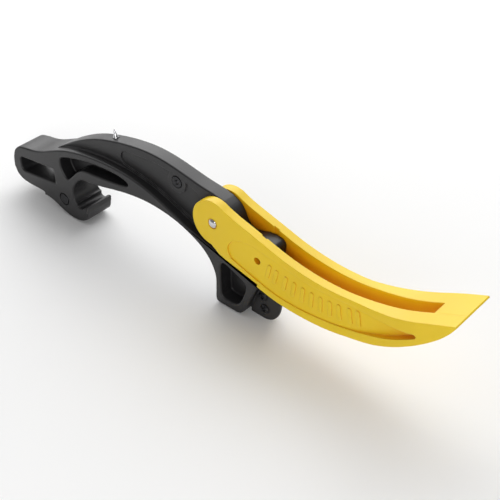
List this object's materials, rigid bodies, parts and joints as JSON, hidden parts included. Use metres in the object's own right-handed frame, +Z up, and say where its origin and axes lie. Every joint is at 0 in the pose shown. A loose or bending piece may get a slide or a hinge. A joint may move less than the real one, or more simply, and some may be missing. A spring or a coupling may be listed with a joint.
{
  "type": "folding rescue wrench",
  "caption": "Folding rescue wrench: black arched body with gas-valve key, coupling hook, glass punch and belt cutter, and a yellow forked pry handle that folds over it.",
  "frame": {"origin": "bottom centre of the open wrench's bounding box, standing on its hook and bracket", "axes": "+X from the hook end to the handle tip, +Y across the width, +Z up"},
  "size_m": [0.3, 0.0284, 0.0677],
  "materials": {
    "black_anodised": "matt black hard anodised casting",
    "yellow_polymer": "satin moulded safety yellow",
    "polished_steel": "polished stainless steel",
    "black_steel": "black oxide steel",
    "bearing_bronze": "plain bronze",
    "blade_steel": "ground blade steel"
  },
  "bodies": {
    "wrench": {"wrench_body": "black_anodised", "hook_plug": "black_steel", "glass_punch": "polished_steel", "detent_sleeve": "black_steel", "detent_spring": "blade_steel", "pivot_bush_near": "bearing_bronze", "pivot_bush_far": "bearing_bronze", "cutter_cover": "black_anodised", "cutter_blade": "blade_steel", "cutter_screw_upper": "black_steel", "cutter_screw_lower": "black_steel"},
    "handle": {"handle_main": "yellow_polymer", "handle_cover": "yellow_polymer", "pivot_pin": "polished_steel"},
    "ball_near": {"detent_ball_near": "black_steel"},
    "ball_far": {"detent_ball_far": "black_steel"}
  },
  "joints": [
    {"name": "handle_fold", "type": "hinge", "parent": "wrench", "child": "handle", "pos_m": [0.0068, 0, 0.049], "axis": [0, -1, 0], "range_deg": [0, 179]},
    {"name": "ball_near_press", "type": "slide", "parent": "wrench", "child": "ball_near", "axis": [0, 1, 0], "range_m": [0, 0.0006], "stiffness_N_per_m": 400, "springref_m": -0.001, "deforming": ["detent_spring"]},
    {"name": "ball_far_press", "type": "slide", "parent": "wrench", "child": "ball_far", "axis": [0, -1, 0], "range_m": [0, 0.0006], "stiffness_N_per_m": 400, "springref_m": -0.001, "deforming": ["detent_spring"]}
  ]
}
